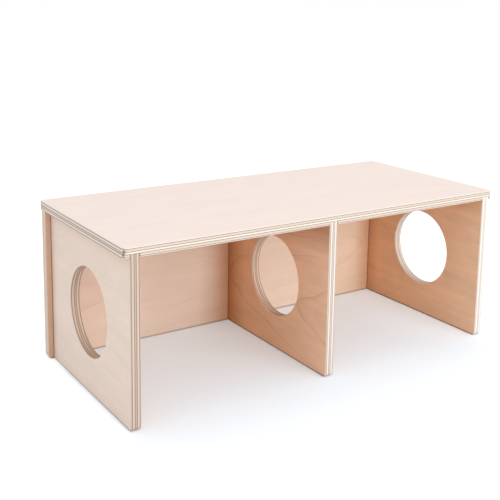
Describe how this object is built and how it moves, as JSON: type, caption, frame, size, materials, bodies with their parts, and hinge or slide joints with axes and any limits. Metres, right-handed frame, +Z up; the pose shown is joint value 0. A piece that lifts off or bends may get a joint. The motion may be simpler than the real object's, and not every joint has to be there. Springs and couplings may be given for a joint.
{
  "type": "wooden hamster house",
  "caption": "Open-fronted plywood house for a small pet: a flat roof board grooved onto a back panel, end panels and a divider, with round doorways in line through the uprights.",
  "frame": {"origin": "on the floor, below the middle of the roof board", "axes": "+X along the house from the left end panel to the right one, -Y towards the open front, +Z up"},
  "size_m": [0.3608, 0.1626, 0.1346],
  "materials": {
    "roof_plywood": "sanded pale birch veneer, bare ply edges",
    "back_plywood": "sanded birch veneer, bare ply edges",
    "upright_plywood": "sanded birch veneer, bare ply edges"
  },
  "bodies": {
    "root": {"roof_board": "roof_plywood", "back_panel": "back_plywood", "left_end_panel": "upright_plywood", "divider_panel": "upright_plywood", "right_end_panel": "upright_plywood"}
  },
  "joints": []
}
